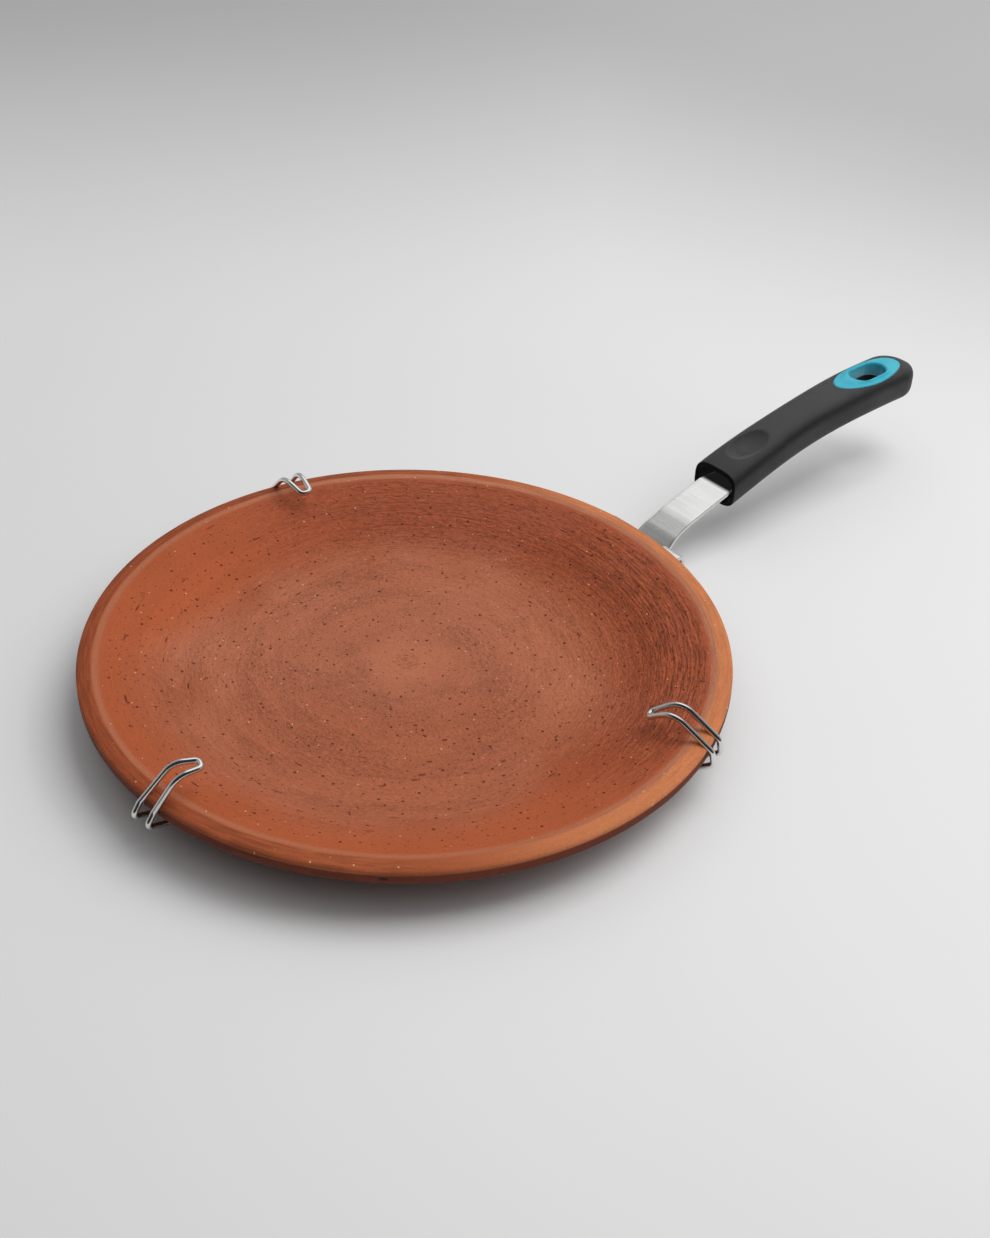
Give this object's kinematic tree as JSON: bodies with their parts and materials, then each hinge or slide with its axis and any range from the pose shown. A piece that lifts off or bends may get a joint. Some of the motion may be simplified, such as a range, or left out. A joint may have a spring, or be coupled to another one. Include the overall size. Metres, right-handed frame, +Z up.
{
  "type": "clay tawa",
  "caption": "Round shallow terracotta griddle pan held in a wire cradle by rim clips, with a steel strap handle, soft-touch grip and lined hang hole.",
  "frame": {"origin": "on the pan's axis, at the plane of the flat base that it stands on", "axes": "+Z up through the dish, +X out along the handle"},
  "size_m": [0.4865, 0.2815, 0.0532],
  "materials": {
    "terracotta": "unglazed, matt",
    "polished_wire": "polished stainless",
    "brushed_sheet": "brushed along its length",
    "fastener_steel": "plain",
    "soft_touch_black": "soft-touch matt",
    "blue_plastic": "satin"
  },
  "bodies": {
    "root": {"clay_pan": "terracotta", "clip_wire_back": "polished_wire", "clip_wire_front": "polished_wire", "clip_wire_right": "polished_wire", "cradle_ring": "polished_wire", "handle_arm": "polished_wire", "handle_bracket": "brushed_sheet", "handle_strap": "brushed_sheet", "strap_rivet_left": "fastener_steel", "strap_rivet_right": "fastener_steel", "grip": "soft_touch_black", "hang_hole_lining": "blue_plastic", "grip_screw": "fastener_steel"}
  },
  "joints": []
}
